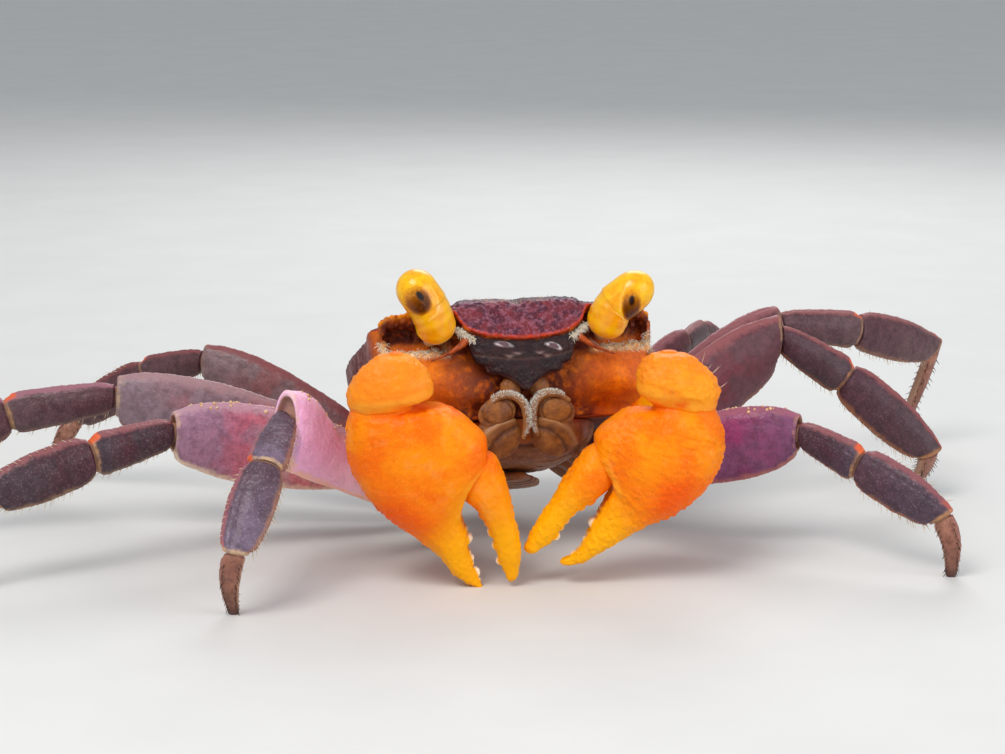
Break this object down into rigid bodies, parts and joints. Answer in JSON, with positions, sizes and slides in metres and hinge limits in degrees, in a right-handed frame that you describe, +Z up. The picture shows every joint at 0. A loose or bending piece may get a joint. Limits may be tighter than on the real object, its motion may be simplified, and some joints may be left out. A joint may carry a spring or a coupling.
{
  "type": "crab model",
  "caption": "Life-size still model of a small violet and orange land crab, alert, front raised and claws held down before it.",
  "frame": {"origin": "middle of the footprint on the floor: centre of the bounding box in X and Y, lowest point in Z", "axes": "+Z up, the crab faces -Y with its body turned 12 degrees towards +X, its own left is +X"},
  "size_m": [0.069, 0.0454, 0.0169],
  "materials": {
    "back": "satin shell, dark maroon violet with granules",
    "belly": "dull brown shell",
    "face": "dark purple brown, finely grained",
    "mouth": "translucent brown shell with pale fringe",
    "eye": "glossy yellow orange with a dark mottled patch",
    "eye_stalk": "satin yellow",
    "feeler": "pale grained",
    "claw": "satin orange, yellow at the tips",
    "claw_arm": "satin orange brown",
    "leg_upper": "satin plum and magenta, grained",
    "leg_outer": "dark purple brown with fine pale mottling",
    "toe": "orange brown with short bristles"
  },
  "bodies": {
    "root": {"back_shell": "back", "breast_plate": "belly", "claw_left_arm": "claw_arm", "claw_left_finger": "claw", "claw_left_knuckle": "claw", "claw_left_palm": "claw", "claw_right_arm": "claw_arm", "claw_right_finger": "claw", "claw_right_knuckle": "claw", "claw_right_palm": "claw", "eye_left": "eye", "eye_right": "eye", "eye_stalk_left": "eye_stalk", "eye_stalk_right": "eye_stalk", "face_plate": "face", "feeler_left": "feeler", "feeler_right": "feeler", "leg_left_1_hand": "leg_outer", "leg_left_1_toe": "toe", "leg_left_1_upper": "leg_upper", "leg_left_1_wrist": "leg_outer", "leg_left_2_hand": "leg_outer", "leg_left_2_toe": "toe", "leg_left_2_upper": "leg_upper", "leg_left_2_wrist": "leg_outer", "leg_left_3_hand": "leg_outer", "leg_left_3_toe": "toe", "leg_left_3_upper": "leg_upper", "leg_left_3_wrist": "leg_outer", "leg_left_4_hand": "leg_outer", "leg_left_4_toe": "toe", "leg_left_4_upper": "leg_upper", "leg_left_4_wrist": "leg_outer", "leg_right_1_hand": "leg_outer", "leg_right_1_toe": "toe", "leg_right_1_upper": "leg_upper", "leg_right_1_wrist": "leg_outer", "leg_right_2_hand": "leg_outer", "leg_right_2_toe": "toe", "leg_right_2_upper": "leg_upper", "leg_right_2_wrist": "leg_outer", "leg_right_3_hand": "leg_outer", "leg_right_3_toe": "toe", "leg_right_3_upper": "leg_upper", "leg_right_3_wrist": "leg_outer", "leg_right_4_hand": "leg_outer", "leg_right_4_toe": "toe", "leg_right_4_upper": "leg_upper", "leg_right_4_wrist": "leg_outer", "mouth_lobe_left": "mouth", "mouth_lobe_right": "mouth", "tail_flap": "belly"}
  },
  "joints": []
}
